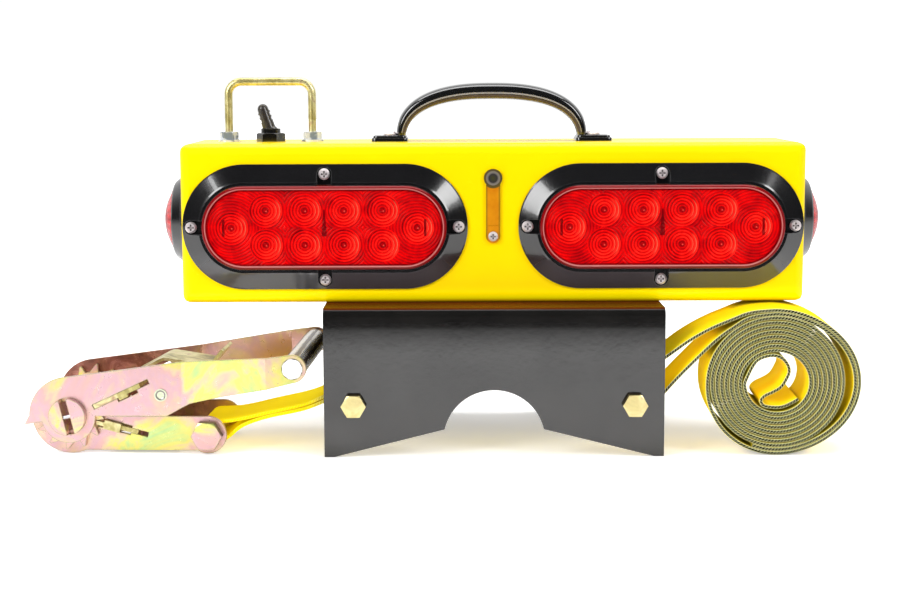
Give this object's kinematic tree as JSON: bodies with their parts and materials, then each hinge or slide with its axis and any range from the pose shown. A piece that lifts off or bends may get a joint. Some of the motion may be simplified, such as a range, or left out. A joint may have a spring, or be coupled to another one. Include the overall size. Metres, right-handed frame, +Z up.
{
  "type": "wireless tow light",
  "caption": "Battery light bar with oval and round red lamps, carry handle and guarded switch, on a folded saddle bracket with a ratchet strap.",
  "frame": {"origin": "on the axis of the bracket's saddle arch, midway between the bracket's two plates", "axes": "+X along the bar to the viewer's right, -Y to the front with the oval lamps, +Z up"},
  "size_m": [0.5526, 0.1826, 0.2473],
  "materials": {
    "yellow_paint": "glossy moulded yellow",
    "black_plastic": "satin black moulding",
    "black_rubber": "matt black rubber",
    "red_lens": "clear red acrylic",
    "smoky_rubber": "translucent smoky rubber",
    "bright_zinc": "bright zinc plate",
    "yellow_zinc": "yellow chromated zinc",
    "pink_zinc": "iridescent chromated zinc",
    "black_powder": "gloss black powder coat",
    "yellow_webbing": "woven polyester webbing",
    "circuit_board": "green solder mask",
    "battery_case": "matt dark grey case"
  },
  "bodies": {
    "light_bar": {"housing": "yellow_paint", "back_cover_gasket": "black_rubber", "back_cover": "yellow_paint", "back_cover_screws": "bright_zinc", "oval_lamp_flange_left": "black_plastic", "oval_lamp_flange_right": "black_plastic", "oval_lens_left": "red_lens", "oval_lens_right": "red_lens", "oval_led_board_left": "circuit_board", "oval_led_board_right": "circuit_board", "oval_lamp_base_left": "black_plastic", "oval_lamp_base_right": "black_plastic", "flange_screws_left": "bright_zinc", "flange_screws_right": "bright_zinc", "marker_flange_left": "black_plastic", "marker_flange_right": "black_plastic", "marker_lens_left": "red_lens", "marker_lens_right": "red_lens", "marker_base_left": "black_plastic", "marker_base_right": "black_plastic", "charge_jack": "black_plastic", "port_flap_root": "smoky_rubber", "port_flap_screw": "bright_zinc", "carry_handle": "black_plastic", "handle_screws": "bright_zinc", "guard_hoop": "yellow_zinc", "guard_nuts": "bright_zinc", "guard_washers": "bright_zinc", "switch_body": "black_plastic", "switch_boot_nut": "black_plastic", "battery_pack": "battery_case", "battery_clamp": "bright_zinc", "receiver_board": "circuit_board", "antenna": "yellow_zinc", "saddle_bracket": "black_powder", "bracket_bolts": "bright_zinc", "bracket_nuts": "bright_zinc", "cross_bolts": "yellow_zinc", "cross_bolt_sleeves": "bright_zinc", "cross_bolt_nuts": "yellow_zinc", "strap": "yellow_webbing", "ratchet_frame": "pink_zinc", "anchor_bolt": "pink_zinc", "anchor_nut": "bright_zinc"},
    "lever": {"switch_boot": "black_rubber", "switch_lever": "bright_zinc"},
    "flap": {"port_flap": "smoky_rubber"},
    "handle": {"ratchet_handle": "pink_zinc", "grip_tube": "bright_zinc", "handle_rivet": "bright_zinc"},
    "handle_release": {"handle_pawl": "yellow_zinc", "handle_pawl_spring": "bright_zinc"},
    "reel": {"ratchet_wheels": "yellow_zinc", "axle_halves": "yellow_zinc", "axle_pins": "bright_zinc"},
    "frame_release": {"frame_pawl": "yellow_zinc", "frame_pawl_spring": "bright_zinc"}
  },
  "joints": [
    {"name": "switch_throw", "type": "hinge", "parent": "light_bar", "child": "lever", "pos_m": [-0.151, 0, 0.1988], "axis": [0, 1, 0], "range_deg": [0, 36]},
    {"name": "flap_swing", "type": "hinge", "parent": "light_bar", "child": "flap", "pos_m": [0, -0.0466, 0.1385], "axis": [1, 0, 0], "range_deg": [0, 90], "stiffness_Nm_per_rad": 0.0004},
    {"name": "handle_swing", "type": "hinge", "parent": "light_bar", "child": "handle", "pos_m": [-0.27973, -0.02779, 0.015], "axis": [-0.0436, -0.999, 0], "range_deg": [-5, 9]},
    {"name": "handle_release_slide", "type": "slide", "parent": "handle", "child": "handle_release", "axis": [0.9054, -0.0395, 0.4226], "range_m": [0, 0.006], "stiffness_N_per_m": 400, "springref_m": -0.004, "deforming": ["handle_pawl_spring"]},
    {"name": "reel_spin", "type": "hinge", "parent": "light_bar", "child": "reel", "pos_m": [-0.27973, -0.02779, 0.015], "axis": [-0.0436, -0.999, 0], "continuous": true},
    {"name": "frame_release_slide", "type": "slide", "parent": "light_bar", "child": "frame_release", "axis": [0.9659, -0.0422, -0.2554], "range_m": [0, 0.006], "stiffness_N_per_m": 400, "springref_m": -0.004, "deforming": ["frame_pawl_spring"]}
  ]
}
